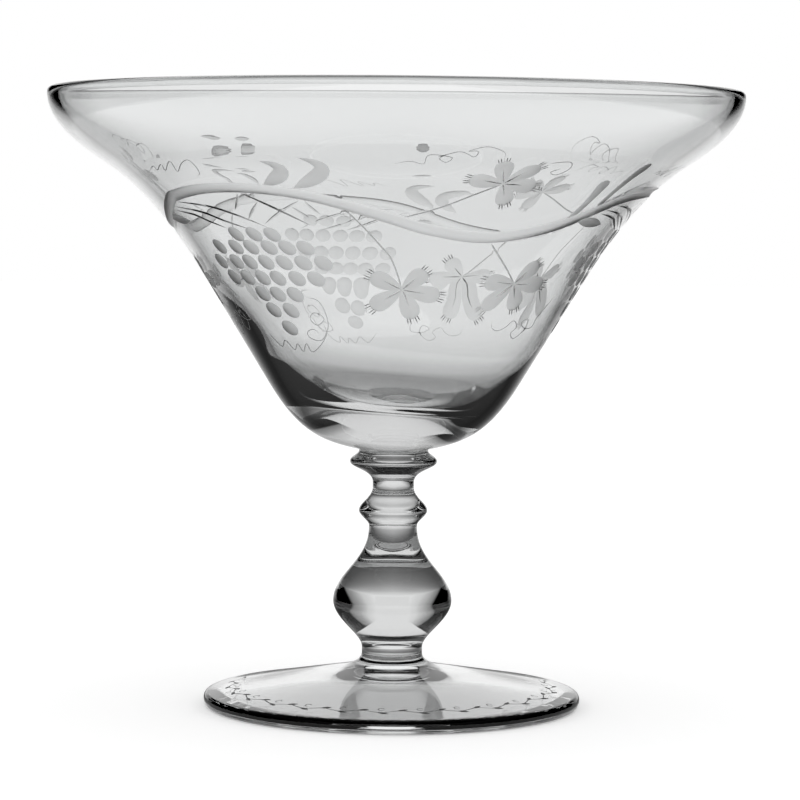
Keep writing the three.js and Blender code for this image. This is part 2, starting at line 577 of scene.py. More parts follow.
@dataclass(frozen=True)
class Leaf:
    """A vine leaf of five ground lobes with polished ribs.

    Attributes:
        centre: Where the lobes meet.
        tips: The ends of the lobes' ribs.
        stem: The line of the stem, up to the centre.
        lobe_share: The share of the rib's length that the lobe covers.
        hatch_start: How far before the tip the hatching starts.
        hatch_gap: The distance between the hatching's lines where they end.
        hatch_root_share: The share of that distance where they start.
        hatch_setback: How much sooner each line ends than its neighbour nearer the rib.
    """

    centre: Place
    tips: tuple[Place, ...]
    stem: Line
    lobe_share: float = 0.82
    lobe_width: float = 6.8
    lobe_depth: float = 0.28
    rib_width: float = 0.6
    rib_depth: float = 0.3
    stem_width: float = 0.55
    stem_depth: float = 0.18
    hatch_width: float = 0.36
    hatch_depth: float = 0.33
    hatch_start: float = 3.4
    hatch_gap: float = 0.95
    hatch_root_share: float = 0.75
    hatch_setback: float = 0.4

    def hatching(self, surface: TurnedSurface, tip: Place) -> list[Cut]:
        """Makes the short fine lines that run out of a lobe's end.

        Args:
            surface: The surface that is cut.
            tip: The end of the lobe's rib.

        Returns:
            The lines, two on each side of the rib.
        """
        way = surface.offset(self.centre, tip).normalized()
        side = Vector((-way.y, way.x, 0))
        lines = []
        for row in (-2, -1, 1, 2):
            aside = side * self.hatch_gap * row
            root = surface.moved(tip, aside * self.hatch_root_share - way * self.hatch_start)
            out = surface.moved(tip, aside - way * self.hatch_setback * abs(row))
            lines.append(Groove((root, out), self.hatch_width, self.hatch_depth, step=0.5, sides=6))
        return lines

    def cuts(self, surface: TurnedSurface) -> list[Cut]:
        """Makes the lobes, ribs, hatching and stem.

        Args:
            surface: The surface that is cut.

        Returns:
            The leaf's cuts.
        """
        cuts = []
        for tip in self.tips:
            end = surface.moved(self.centre, surface.offset(self.centre, tip) * self.lobe_share)
            lobe = Groove((self.centre, end), self.lobe_width, self.lobe_depth, form=Form.LOBE)
            rib = Groove((self.centre, tip), self.rib_width, self.rib_depth, Finish.CLEAR, Form.RIB, sides=8)
            cuts += [lobe, rib, *self.hatching(surface, tip)]
        stem = Groove((*self.stem, self.centre), self.stem_width, self.stem_depth, form=Form.LINE, sides=8)
        return [*cuts, stem]


def bow(start: Place, middle: Place, end: Place, steps: int = 6) -> Line:
    """Bends a line through three places.

    Args:
        start: The first place.
        middle: The place halfway along.
        end: The last place.
        steps: The number of stretches between the line's places.

    Returns:
        The line.
    """
    places = (start, middle, end)
    line = []
    for i in range(steps + 1):
        t = i / steps
        shares = ((1 - t) * (1 - 2 * t), 4 * t * (1 - t), t * (2 * t - 1))
        azimuth = sum(share * place[0] for share, place in zip(shares, places))
        height = sum(share * place[1] for share, place in zip(shares, places))
        line.append((azimuth, height))
    return tuple(line)


@dataclass(frozen=True)
class GrapevineBand:
    """The engraved band of the bowl: a vine with grapes, leaves and tendrils, three times round.

    It is cut by hand, so one bunch is fuller than the others, and the curved cuts on the far side differ.

    Attributes:
        repeats: The number of times that the sprig is cut.
        fuller: The number of the sprig that has the fuller bunch.
    """

    repeats: int = 3
    fuller: int = 2
    vine_width: float = 4.2
    vine_depth: float = 0.42
    grape_width: float = 5.1
    grape_depth: float = 0.3
    blade_width: float = 1.0
    bud_width: float = 3.8
    fan_depth: float = 0.35
    crescent_depth: float = 0.28
    club_depth: float = 0.3
    tendril_width: float = 0.32
    tendril_depth: float = 0.06

    def vine(self) -> Cut:
        """Makes the stem that winds round the whole bowl.

        Returns:
            The groove, whose ends meet.
        """
        bends = (
            (-59.5, 161.4), (-46, 163.6), (-33, 163.9), (-19, 161.7),
            (-1, 155.3), (9, 151.9), (24, 149.9), (42, 153.4),
        )
        turn = 360 / self.repeats
        line = [(azimuth + turn * i, height) for i in range(self.repeats) for azimuth, height in bends]
        line.append((bends[0][0] + 360, bends[0][1]))
        return Groove(
            tuple(line), self.vine_width, self.vine_depth, Finish.BRIGHT, Form.RING, step=1.6, sides=16
        )

    def bunch(self, rows: dict[float, tuple[float, ...]]) -> list[Cut]:
        """The grapes of a bunch, from the azimuths at each row's height."""
        places = [(azimuth, height) for height, row in rows.items() for azimuth in row]
        return [Dimple((place,), self.grape_width, self.grape_depth) for place in places]

    def grapes(self) -> list[Cut]:
        """The bunch, row by row."""
        return self.bunch({
            150.2: (-43.6, -37.5, -31.9),
            146.3: (-53.3, -46.3, -40.6, -34.5, -28.9, -23.6),
            141.8: (-56.8, -49.2, -43.7, -37.6, -31.5, -25.5, -19.6),
            137.0: (-54.2, -47.7, -41.3, -35.6, -29, -22.9),
            132.1: (-44.2, -37.9, -31.4),
            127.2: (-42.4, -35.1),
            121.7: (-38.4,),
        })

    def fuller_grapes(self) -> list[Cut]:
        """The bunch on the far side, row by row."""
        return self.bunch({
            155.2: (-155.9, -160.5, -165.6),
            150.0: (-148.5, -153.3, -158.4, -163.7, -168.6, -173.7),
            144.2: (-151.2, -156.3, -161.3, -166.7, -172.1, -177.6),
            138.7: (-155.4, -160.3, -165.2, -170.1, -175.8),
            133.1: (-156.4, -162.1, -168.1),
            128.1: (-159.9, -165.9),
            123.2: (-163.2,),
        })

    def fan(self) -> list[Cut]:
        """Makes the polished blades over the bunch, and the bud beside them.

        Returns:
            The fan's cuts.
        """
        lines = (
            ((-60, 159.9), (-48, 158.6), (-39.8, 155.9), (-31.9, 152.1)),
            ((-63.5, 158.5), (-52.1, 156.9), (-44.9, 154.1), (-37.1, 151.4)),
            ((-64, 157.3), (-55.9, 156), (-51.3, 154.1), (-45.6, 151.9)),
            ((-35.4, 162.7), (-20.2, 152.9)),
            ((-36, 162.4), (-37, 160.4), (-39.4, 157.4)),
            ((-31.7, 159.9), (-34.8, 156.9), (-37, 154.5)),
        )
        blades = [Groove(line, self.blade_width, self.fan_depth, Finish.CLEAR, sides=8) for line in lines]
        bud = Groove(((-71.8, 155.2), (-59.8, 154.0)), self.bud_width, self.fan_depth)
        return [*blades, bud]

    def leaves(self, surface: TurnedSurface) -> list[Cut]:
        """Makes the two leaves under the vine and the one over it.

        Args:
            surface: The surface that is cut.

        Returns:
            The leaves' cuts.
        """
        left = Leaf(
            (2.2, 134.0),
            ((-8.8, 139.3), (-9.3, 127.2), (6.9, 123.3), (16, 131.6), (10.1, 141)),
            ((-11.2, 157.7), (-7.9, 153.3), (-4.1, 147.9), (-0.8, 143)),
        )
        right = Leaf(
            (37.1, 135.8),
            ((24.4, 136.8), (26.8, 126.4), (42.5, 126.2), (51.4, 135.4), (44.5, 143.7)),
            ((24.8, 148.2), (29.1, 143.7)),
        )
        upper = Leaf(
            (22.2, 165.6),
            ((13.1, 167.2), (19.7, 173.3), (29.5, 171.8), (31.6, 164.8), (25.3, 158.1)),
            ((1.9, 155.6), (10.9, 159.1)),
        )
        return [cut for leaf in (left, right, upper) for cut in leaf.cuts(surface)]

    def curved(self) -> list[Cut]:
        """Makes the crescents and clubs over the vine, and the small leaves beside them, near and far.

        Returns:
            The cuts.
        """
        bent = (
            (Form.CRESCENT, 5.2, (-25.9, 171.6), (-22.5, 168.8), (-28.2, 164.6)),
            (Form.CRESCENT, 5.4, (-17.9, 172.6), (-14.2, 169.0), (-21.6, 163.8)),
            (Form.CLUB, 5.8, (45.3, 156.0), (47.6, 161.6), (48.0, 167.2)),
            (Form.CLUB, 5.4, (52.4, 159.6), (54.7, 166), (56.4, 172.4)),
            (Form.CRESCENT, 5.0, (-189.2, 169.2), (-183.6, 167.0), (-190.3, 160.2)),
            (Form.CRESCENT, 5.0, (-199.9, 166.5), (-191.5, 164.3), (-196.1, 158.6)),
            (Form.CRESCENT, 2.4, (-143.2, 173.4), (-136.6, 172.4), (-139.7, 167.8)),
            (Form.CRESCENT, 3.0, (-142.4, 172.4), (-145.0, 171.2), (-145.9, 168.0)),
        )
        straight = (
            (Form.LOBE, 2.2, (-148.3, 174.0), (-144.7, 173.6)),
            (Form.OLIVE, 1.5, (-143.8, 175.0), (-147.4, 175.0)),
            (Form.OLIVE, 1.5, (-135.2, 175.4), (-140.5, 175.0)),
            (Form.OLIVE, 2.6, (176.8, 174), (172.2, 174.1)),
        )
        cuts = []
        for form, width, start, middle, end in bent:
            depth = self.club_depth if form is Form.CLUB else self.crescent_depth
            cuts.append(Groove(bow(start, middle, end), width, depth, form=form))
        for form, width, start, end in straight:
            cuts.append(Groove((start, end), width, self.crescent_depth, form=form))
        return cuts

    def tendrils(self) -> list[Cut]:
        """Makes the fine curls between the leaves.

        Returns:
            The curls' cuts.
        """
        zigzag = (
            (-58.2, 169), (-54.8, 170.4), (-54.9, 169.2), (-51.3, 170.9), (-52.2, 169), (-47.5, 171.7),
            (-48.5, 168.7), (-44.7, 171.1), (-42.1, 172), (-41.7, 170.3), (-42.4, 168.1), (-44.3, 167.2),
        )
        beside_bunch = (
            (-28.5, 131.3), (-24.5, 130.6), (-22.8, 127.6), (-22.8, 122.4), (-26.7, 118.2), (-31.2, 118.9),
            (-31.3, 120.7), (-28.5, 121.5), (-26.5, 119.8),
        )
        loop = ((-25.3, 126.7), (-23.6, 124.7), (-26.7, 122.8), (-28.7, 124.6), (-27, 126.6), (-24.6, 126.2))
        under_bunch = (
            (-51.2, 120.4), (-46.5, 115.8), (-43.2, 117.8), (-40.3, 114.9), (-37.8, 116.8), (-36.3, 114.4),
            (-33.7, 117), (-32.3, 114.4), (-27.6, 116.7), (-24, 120.4), (-24.6, 124.1),
        )
        under_leaf = (
            (34.1, 124.8), (35.1, 122.2), (38.4, 121.4), (41.2, 122.6), (43.4, 124.4), (46.4, 122.5),
            (44.8, 120.4), (47.8, 118.8), (51.4, 121.8), (50.4, 124.8), (47.8, 123.7), (51, 121.9),
            (55, 122.3), (55.2, 125.2), (58.2, 130.1), (59.5, 132.7),
        )
        over_vine = (
            (-1, 170.8), (2.6, 171.8), (5.1, 171.1), (5.9, 173.6), (10, 173), (9.2, 171.6), (7.9, 172.9),
            (11.2, 174.6), (14, 173.2), (14.4, 174.8), (12.7, 174.8), (15.8, 176.1), (19.2, 174.6),
            (19.8, 172.7),
        )
        by_leaf = ((29.6, 171.7), (33.8, 172.2), (35, 170.3), (33.1, 168.5), (31.2, 169.2), (33.2, 170.4))
        lines = (zigzag, beside_bunch, loop, under_bunch, under_leaf, over_vine, by_leaf)
        return [
            Groove(line, self.tendril_width, self.tendril_depth, form=Form.LINE, step=0.6, sides=6)
            for line in lines
        ]

    def cuts(self, surface: TurnedSurface) -> list[Cut]:
        """Gathers every cut of the band, all the way round.

        Args:
            surface: The surface that is cut.

        Returns:
            The band's cuts.
        """
        sprig = [*self.fan(), *self.leaves(surface), *self.tendrils()]
        cuts = [self.vine(), *self.curved(), *self.fuller_grapes()]
        for i in range(self.repeats):
            here = sprig if i == self.fuller else [*self.grapes(), *sprig]
            cuts += [cut.turned(360 / self.repeats * i) for cut in here]
        return cuts


@dataclass(frozen=True)
class FootWreath:
    """The running wreath near the foot's edge: a wave with a leaf on each side of it, and rings.

    Attributes:
        repeats: The number of waves.
        height: The height of the wreath's middle on the coned top.
        wave: How far the wave swings to each side.
        leaf_setback: How far a leaf starts before the wave's outermost place.
        leaf_root: How far it starts to the side of the wreath's middle.
        leaf_tip: How far it ends to that side.
        ring_offset: How far the rings' middles lie above the wreath's middle.
        ring_corners: The number of places that a ring is drawn through.
    """

    repeats: int = 26
    height: float = 5.8
    wave: float = 0.9
    wave_width: float = 0.34
    wave_depth: float = 0.16
    leaf_length: float = 3.6
    leaf_width: float = 1.5
    leaf_depth: float = 0.3
    leaf_setback: float = 1.2
    leaf_root: float = 0.6
    leaf_tip: float = 2.0
    ring_radius: float = 1.0
    ring_width: float = 0.3
    ring_depth: float = 0.15
    ring_offset: float = 2.0
    ring_corners: int = 9

    def middle(self, waves: float) -> Place:
        """The place on the wreath's middle after a number of waves, counted from the far side."""
        return (360 / self.repeats * waves - 180, self.height)

    def stalk(self, surface: TurnedSurface) -> Cut:
        """Makes the wave that runs all the way round.

        Args:
            surface: The surface that is cut.

        Returns:
            The groove, whose ends meet.
        """
        line = []
        for quarter in range(4 * self.repeats + 1):
            swing = (0, self.wave, 0, -self.wave)[quarter % 4]
            line.append(surface.moved(self.middle(quarter / 4), Vector((0, swing, 0))))
        return Groove(tuple(line), self.wave_width, self.wave_depth, form=Form.RING, step=1.0, sides=6)

    def leaf(self, surface: TurnedSurface, middle: Place, side: int) -> Cut:
        """Makes a leaf beside the wave.

        Args:
            surface: The surface that is cut.
            middle: The place on the wreath's middle that the leaf stands at.
            side: 1 for a leaf above the middle, and -1 for one below it.

        Returns:
            The leaf's cut.
        """
        root = surface.moved(middle, Vector((-self.leaf_setback, side * self.leaf_root, 0)))
        tip = surface.moved(middle, Vector((self.leaf_length - self.leaf_setback, side * self.leaf_tip, 0)))
        return Groove((root, tip), self.leaf_width, self.leaf_depth, form=Form.OLIVE, sides=8)

    def ring(self, surface: TurnedSurface, middle: Place) -> Cut:
        """Makes a small ring over the wave.

        Args:
            surface: The surface that is cut.
            middle: The place on the wreath's middle that the ring stands over.

        Returns:
            The ring's cut.
        """
        line = []
        for corner in range(self.ring_corners):
            angle = math.tau * corner / self.ring_corners
            spot = Vector((math.cos(angle), math.sin(angle), 0)) * self.ring_radius
            line.append(surface.moved(middle, spot + Vector((0, self.ring_offset, 0))))
        return Groove(tuple(line), self.ring_width, self.ring_depth, form=Form.LINE, step=0.5, sides=6)

    def cuts(self, surface: TurnedSurface) -> list[Cut]:
        """Gathers every cut of the wreath.

        Args:
            surface: The surface that is cut.

        Returns:
            The wreath's cuts.
        """
        cuts = [self.stalk(surface)]
        for i in range(self.repeats):
            cuts.append(self.leaf(surface, self.middle(i + 0.25), 1))
            cuts.append(self.leaf(surface, self.middle(i + 0.75), -1))
            cuts.append(self.ring(surface, self.middle(i + 0.75)))
        return cuts


# The height in metres, and the share of light that each surface of the glass lets through there: the
# spread foot, the solid stem and base, and the thin wall.
BODY_TINTS = ((0.016, 0.9), (0.024, 0.72), (0.100, 0.72), (0.125, 0.88))


class Paint:
    """A new material, with short ways to add and join its nodes."""

    def __init__(self, name: str) -> None:
        """Starts the material with its usual nodes.

        Args:
            name: The material's name.
        """
        self.material = bpy.data.materials.new(name)
        self.material.use_nodes = True
        self.nodes = self.material.node_tree.nodes
        self.join = self.material.node_tree.links.new
        self.shader = self.nodes["Principled BSDF"]

    def shine(self, shader: bpy.types.Node, result: str) -> None:
        """Puts another shader in the usual one's place.

        Args:
            shader: The node of the other shader.
            result: The name of its result.
        """
        self.nodes.remove(self.shader)
        self.shader = shader
        self.join(shader.outputs[result], self.nodes["Material Output"].inputs["Surface"])

    def maths(self, operation: str, *terms: float | bpy.types.NodeSocket) -> bpy.types.NodeSocket:
        """Adds a node that works out a sum.

        Args:
            operation: The kind of sum.
            terms: The numbers, or other nodes' sockets, in the order that the sum takes them.

        Returns:
            The socket that gives the result.
        """
        node = self.nodes.new("ShaderNodeMath")
        node.operation = operation
        for inlet, term in zip(node.inputs, terms):
            if isinstance(term, bpy.types.NodeSocket):
                self.join(term, inlet)
            else:
                inlet.default_value = term
        return node.outputs["Value"]

    def graded(self, share: bpy.types.NodeSocket, stops: list[tuple[float, Triple]]) -> bpy.types.NodeSocket:
        """Adds a ramp of colours.

        Args:
            share: The socket that gives the place on the ramp, from 0 to 1.
            stops: The places on the ramp and their colours.

        Returns:
            The socket that gives the colour.
        """
        node = self.nodes.new("ShaderNodeValToRGB")
        elements = node.color_ramp.elements
        elements.remove(elements[1])
        for i, (position, colour) in enumerate(stops):
            stop = elements[0] if i == 0 else elements.new(position)
            stop.position = position
            stop.color = (*colour, 1)
        self.join(share, node.inputs["Fac"])
        return node.outputs["Color"]


@dataclass(frozen=True)
class Glass:
    """Clear or ground crystal, with the faint unevenness of glass blown by hand.

    Attributes:
        name: The material's name.
        share: The share of the light that its surface lets through.
        roughness: How matte the surface is.
        index: The refractive index.
        red_share: The share of the light's red that comes through with the rest.
        waves_per_metre: How close together the surface's slow waves are.
        wave_height: Their height, in metres.
    """

    name: str
    share: float
    roughness: float
    index: float = 1.52
    red_share: float = 0.992
    waves_per_metre: float = 22.0
    wave_height: float = 0.00002

    def make(self) -> bpy.types.Material:
        """Builds the material.

        Returns:
            The material, whose patterns read the piece's own coordinates.
        """
        paint = Paint(self.name)
        shader = paint.shader
        shader.inputs["Roughness"].default_value = self.roughness
        shader.inputs["IOR"].default_value = self.index
        shader.inputs["Transmission Weight"].default_value = 1
        place = paint.nodes.new("ShaderNodeTexCoord")
        waves = paint.nodes.new("ShaderNodeTexNoise")
        waves.inputs["Scale"].default_value = self.waves_per_metre
        waves.inputs["Detail"].default_value = 1
        bump = paint.nodes.new("ShaderNodeBump")
        bump.inputs["Strength"].default_value = 1
        bump.inputs["Distance"].default_value = self.wave_height
        paint.join(place.outputs["Object"], waves.inputs["Vector"])
        paint.join(waves.outputs["Fac"], bump.inputs["Height"])
        paint.join(bump.outputs["Normal"], shader.inputs["Normal"])
        where = paint.nodes.new("ShaderNodeSeparateXYZ")
        paint.join(place.outputs["Object"], where.inputs["Vector"])
        paint.join(paint.graded(where.outputs["Z"], self.tints()), shader.inputs["Base Color"])
        return paint.material

    def tints(self) -> list[tuple[float, Triple]]:
        """The heights at which the tint changes, darker where the glass is thick, and the tints."""
        through = [(height, tone * self.share) for height, tone in BODY_TINTS]
        return [(height, (light * self.red_share, light, light)) for height, light in through]


@dataclass(frozen=True)
class FusedJoint:
    """The inside of a hot joint, where two gathers of glass are one and nothing shows."""

    name: str = "fused_joint"

    def make(self) -> bpy.types.Material:
        """Builds the material.

        Returns:
            The material, which light passes straight through.
        """
        paint = Paint(self.name)
        paint.shine(paint.nodes.new("ShaderNodeBsdfTransparent"), "BSDF")
        return paint.material


class GlassFinishes:
    """The materials that every glass piece shares."""

    def __init__(self) -> None:
        """Makes the materials once."""
        self.materials = {
            Finish.CLEAR: Glass("clear_glass", 1.0, 0.0).make(),
            Finish.GROUND: Glass("ground_glass", 0.92, 0.5).make(),
            Finish.BRIGHT: Glass("bright_cut", 0.98, 0.35).make(),
            Finish.FUSED: FusedJoint().make(),
        }

    def dress(self, piece: bpy.types.Object) -> None:
        """Gives a piece every finish, in the order of its slots."""
        for finish in Finish:
            piece.data.materials.append(self.materials[finish])


@dataclass
class TurnedGlass:
    """A gather of glass, turned about the axis.

    Attributes:
        name: The piece's name.
        node: The CAD node that it stands for.
        slot: The record's material slot; not used.
        seat: The height of its lower end above the floor, in millimetres.
        segments: The number of facets round it.
    """

    name: str
    node: str
    slot: str
    seat: float
    segments: int

    def profile(self) -> Outline:
        """The whole outline, from the axis up the outside and back to the axis."""
        raise NotImplementedError

    def joints(self) -> list[tuple[float, float]]:
        """The height and radius of each end that is fused to a neighbour."""
        raise NotImplementedError

    def turn(self) -> bmesh.types.BMesh:
        """Turns the profile once round the axis.

        Returns:
            The closed mesh, in metres, in its place above the floor.
        """
        mesh = bmesh.new()
        points = [mesh.verts.new(point) for point in without_repeats(self.profile())]
        edges = [mesh.edges.new(pair) for pair in zip(points, points[1:])]
        about_axis = {"cent": (0, 0, 0), "axis": UPRIGHT}
        sector = math.tau / SECTORS
        bmesh.ops.spin(mesh, geom=points + edges, angle=sector, steps=self.segments // SECTORS, **about_axis)
        whole = mesh.verts[:] + mesh.edges[:] + mesh.faces[:]
        rest = {"angle": math.tau - sector, "steps": SECTORS - 1, "use_duplicate": True}
        bmesh.ops.spin(mesh, geom=whole, **rest, **about_axis)
        bmesh.ops.remove_doubles(mesh, verts=mesh.verts[:], dist=CLOSEST_POINTS)
        bmesh.ops.translate(mesh, verts=mesh.verts[:], vec=(0, 0, self.seat))
        bmesh.ops.scale(mesh, verts=mesh.verts[:], vec=[METRES_PER_MM] * 3)
        bmesh.ops.recalc_face_normals(mesh, faces=mesh.faces[:])
        return mesh

    def mark_joints(self, mesh: bmesh.types.BMesh) -> None:
        """Gives the flat ends that are fused to a neighbour their finish.

        Args:
            mesh: The turned mesh, in metres.
        """
        for height, radius in self.joints():
            level = (self.seat + height) * METRES_PER_MM
            reach = radius * METRES_PER_MM + CLOSEST_VERTS
            for face in mesh.faces:
                spots = [vert.co for vert in face.verts]
                if all(abs(spot.z - level) < CLOSEST_VERTS and spot.xy.length < reach for spot in spots):
                    face.material_index = Finish.FUSED.value

    def build(self, finishes: GlassFinishes) -> bpy.types.Object:
        """Makes the piece and puts it in the CAD node's place.

        Args:
            finishes: The shared materials.

        Returns:
            The finished object.
        """
        mesh = self.turn()
        self.mark_joints(mesh)
        piece = add_object(self.name, mesh)
        finishes.dress(piece)
        self.engrave(piece)
        shade(piece)
        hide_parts(self.node)
        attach(piece, BODY)
        LOG.info("%s: %d faces", self.name, len(piece.data.polygons))
        return piece

    def engrave(self, piece: bpy.types.Object) -> None:
        """Cuts the piece's ornament, where it has one."""


def shade(piece: bpy.types.Object, crease: float = math.radians(30)) -> None:
    """Smooths a piece's faces, apart from its creases and the edges of its cuts.

    Args:
        piece: The piece.
        crease: The angle from which an edge stays sharp.
    """
    mesh = bmesh.new()
    mesh.from_mesh(piece.data)
    for face in mesh.faces:
        face.smooth = True
    for edge in mesh.edges:
        sides = edge.link_faces
        meets = len(sides) == 2 and sides[0].material_index == sides[1].material_index
        edge.smooth = meets and edge.calc_face_angle(0) < crease
    mesh.to_mesh(piece.data)
    mesh.free()


@dataclass
class Foot(TurnedGlass):
    """The spread disc that the bowl stands on, with a rounded edge and a hollowed underside.

    Attributes:
        post_height: The height of the post over the shoulder, which the stem is fused to.
        rest_ring_width: The width of the flat ring that stands on the table.
        hollow_rise: How high the underside is hollowed.
        pontil_radius: The radius of the flat mark in the hollow's middle.
        top_steps: The number of stretches of the coned top.
    """

    radius: float = 60.0
    edge_thickness: float = 4.5
    edge_rounding: float = 1.9
    shoulder_radius: float = 17.7
    shoulder_height: float = 12.0
    post_height: float = 4.9
    post_radius: float = 9.6
    rest_ring_width: float = 3.5
    hollow_rise: float = 7.4
    pontil_radius: float = 9.0
    hollow_fullness: Fullness = (0.2, 0.5)
    post_fullness: Fullness = (1, 0.5)
    top_steps: int = 16

    @property
    def height(self) -> float:
        """The height of the post that the stem is fused to."""
        return self.shoulder_height + self.post_height

    def profile(self) -> Outline:
        """Draws the foot's outline.

        Returns:
            The points, from the axis up the outside and back to the axis.
        """
        edge_radius = self.radius - self.edge_rounding
        rest_inner = at(edge_radius - self.rest_ring_width, 0)
        pontil_edge = at(self.pontil_radius, self.hollow_rise)
        edge_top = at(edge_radius, self.edge_thickness)
        shoulder = at(self.shoulder_radius, self.shoulder_height)
        post = at(self.post_radius, self.height)
        rise = (shoulder - edge_top).normalized()
        hollow_reach = rest_inner.x - self.pontil_radius
        upper_rounding = at(edge_radius, self.edge_thickness - self.edge_rounding)
        return [
            at(0, self.hollow_rise),
            *curve(pontil_edge, LEVEL, rest_inner, -rise, hollow_reach, self.hollow_fullness),
            *arc(at(edge_radius, self.edge_rounding), self.edge_rounding, -1, 0),
            *arc(upper_rounding, self.edge_rounding, 0, 1),
            *self.coned_top(),
            *curve(shoulder, rise, post, UPRIGHT, self.post_height, self.post_fullness),
            at(0, self.height),
        ]

    def coned_top(self) -> Outline:
        """Draws the straight rise from the edge's rounding to the shoulder.

        Returns:
            The points, without the one at the shoulder.
        """
        edge_top = at(self.radius - self.edge_rounding, self.edge_thickness)
        shoulder = at(self.shoulder_radius, self.shoulder_height)
        return [edge_top.lerp(shoulder, i / self.top_steps) for i in range(self.top_steps)]

    def joints(self) -> list[tuple[float, float]]:
        """The post's top."""
        return [(self.height, self.post_radius)]

    def engrave(self, piece: bpy.types.Object) -> None:
        """Cuts the wreath into the coned top.

        Args:
            piece: The uncut foot.
        """
        engraver = Engraver(TurnedSurface(self.coned_top()))
        for cut in FootWreath().cuts(engraver.surface):
            engraver.add(cut)
        engraver.carve(piece)


@dataclass
class Swelling(TurnedGlass):
    """A part of the stem that swells between two necks.

    Attributes:
        height: The height of the whole part.
        radius: The radius at its widest place.
        widest_height: The height of that place.
        base_radius: The radius of the lower neck.
        base_neck: The height of the lower neck.
        top_radius: The radius of the upper neck.
        top_neck: The height of the upper neck.
        lower_fullness: How full the curve is over the lower neck and under the widest place.
        upper_fullness: How full it is over the widest place and under the upper neck.
    """

    height: float
    radius: float
    widest_height: float
    base_radius: float
    base_neck: float
    top_radius: float
    top_neck: float
    lower_fullness: Fullness
    upper_fullness: Fullness

    def profile(self) -> Outline:
        """Draws the outline.

        Returns:
            The points, from the axis up the outside and back to the axis.
        """
        widest = at(self.radius, self.widest_height)
        return [
            at(0, 0),
            at(self.base_radius, 0),
            *swell(at(self.base_radius, self.base_neck), widest, self.lower_fullness),
            *swell(widest, at(self.top_radius, self.height - self.top_neck), self.upper_fullness),
            at(self.top_radius, self.height),
            at(0, self.height),
        ]

    def joints(self) -> list[tuple[float, float]]:
        """Both ends."""
        return [(0, self.base_radius), (self.height, self.top_radius)]


@dataclass
class BalusterKnop(Swelling):
    """The large swelling of the stem."""

    height: float = 40.1
    radius: float = 18.9
    widest_height: float = 16.7
    base_radius: float = 9.6
    base_neck: float = 1.8
    top_radius: float = 7.7
    top_neck: float = 0.0
    lower_fullness: Fullness = (0.28, 0.4)
    upper_fullness: Fullness = (0.36, 0.46)


@dataclass
class RingKnop(Swelling):
    """The small ring between the two necks of the stem."""

    height: float = 13.6
    radius: float = 10.9
    widest_height: float = 5.4
    base_radius: float = 7.7
    base_neck: float = 0.8
    top_radius: float = 6.6
    top_neck: float = 0.8
    lower_fullness: Fullness = (0.26, 0.33)
    upper_fullness: Fullness = (0.33, 0.45)


@dataclass
class Merese(Swelling):
    """The flanged wafer that carries the bowl."""

    height: float = 11.4
    radius: float = 13.9
    widest_height: float = 7.6
    base_radius: float = 6.6
    base_neck: float = 0.9
    top_radius: float = 11.1
    top_neck: float = 0.6
    lower_fullness: Fullness = (0.58, 0.36)
    upper_fullness: Fullness = (0.43, 0.31)


